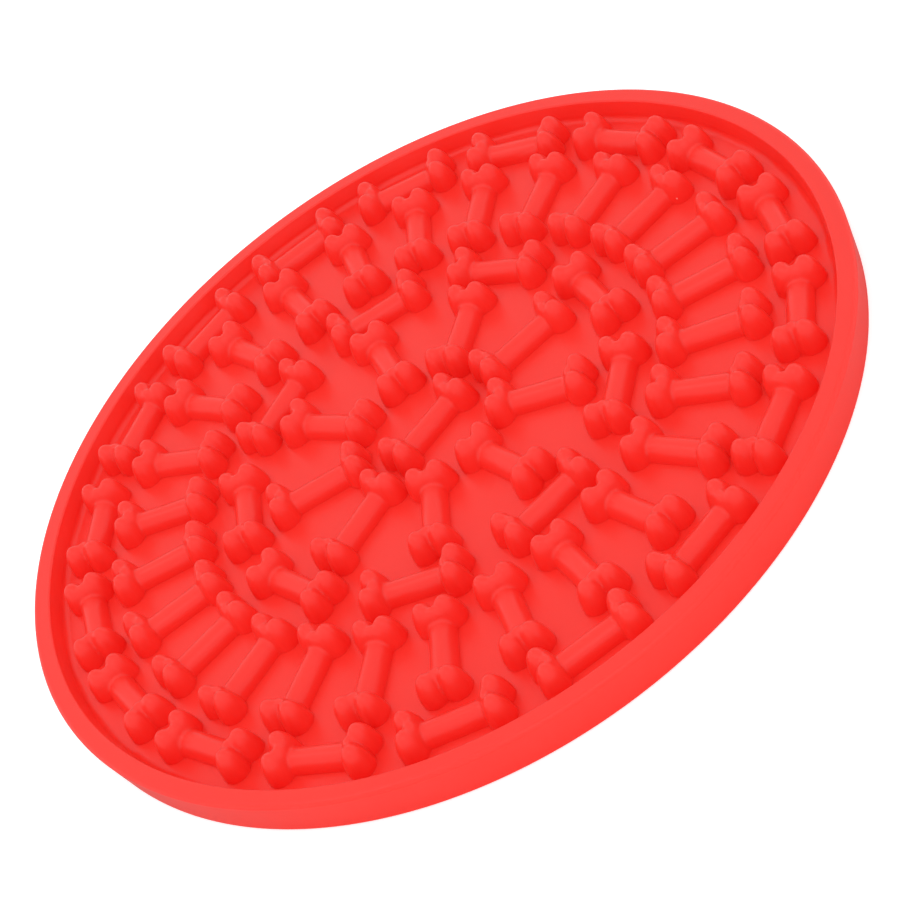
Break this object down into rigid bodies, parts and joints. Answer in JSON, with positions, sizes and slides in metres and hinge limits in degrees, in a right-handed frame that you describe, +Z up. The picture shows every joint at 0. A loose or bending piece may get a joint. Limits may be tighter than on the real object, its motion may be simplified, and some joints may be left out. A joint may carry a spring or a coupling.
{
  "type": "lick mat",
  "caption": "Round rubber lick mat: a shallow rimmed disc whose floor is covered with rings of raised bones, some pointing at the centre and some laid end to end.",
  "frame": {"origin": "centre of the flat underside, on the table", "axes": "+Z up through the mat, out of the side that carries the bones; +X to the right and -Y towards the viewer of the picture"},
  "size_m": [0.1998, 0.1998, 0.0117],
  "materials": {
    "silicone": "satin moulded silicone rubber"
  },
  "bodies": {
    "root": {"floor": "silicone", "rim": "silicone", "centre_bone": "silicone", "inner_spoke_1": "silicone", "inner_spoke_2": "silicone", "inner_spoke_3": "silicone", "inner_spoke_4": "silicone", "inner_spoke_5": "silicone", "inner_spoke_6": "silicone", "inner_spoke_7": "silicone", "inner_spoke_8": "silicone", "inner_spoke_9": "silicone", "inner_hoop_1": "silicone", "inner_hoop_2": "silicone", "inner_hoop_3": "silicone", "inner_hoop_4": "silicone", "inner_hoop_5": "silicone", "inner_hoop_6": "silicone", "inner_hoop_7": "silicone", "inner_hoop_8": "silicone", "inner_hoop_9": "silicone", "outer_spoke_pair_1": "silicone", "outer_spoke_pair_2": "silicone", "outer_spoke_pair_3": "silicone", "outer_spoke_pair_4": "silicone", "outer_spoke_pair_5": "silicone", "outer_spoke_pair_6": "silicone", "outer_spoke_pair_7": "silicone", "outer_spoke_pair_8": "silicone", "outer_spoke_pair_9": "silicone", "outer_spoke_pair_10": "silicone", "outer_spoke_pair_11": "silicone", "outer_spoke_pair_12": "silicone", "outer_spoke_pair_13": "silicone", "outer_hoop_1": "silicone", "outer_hoop_2": "silicone", "outer_hoop_3": "silicone", "outer_hoop_4": "silicone", "outer_hoop_5": "silicone", "outer_hoop_6": "silicone", "outer_hoop_7": "silicone", "outer_hoop_8": "silicone", "outer_hoop_9": "silicone", "outer_hoop_10": "silicone", "outer_hoop_11": "silicone", "outer_hoop_12": "silicone", "outer_hoop_13": "silicone", "outer_hoop_14": "silicone", "outer_hoop_15": "silicone", "outer_hoop_16": "silicone", "outer_hoop_17": "silicone", "outer_hoop_18": "silicone"}
  },
  "joints": []
}
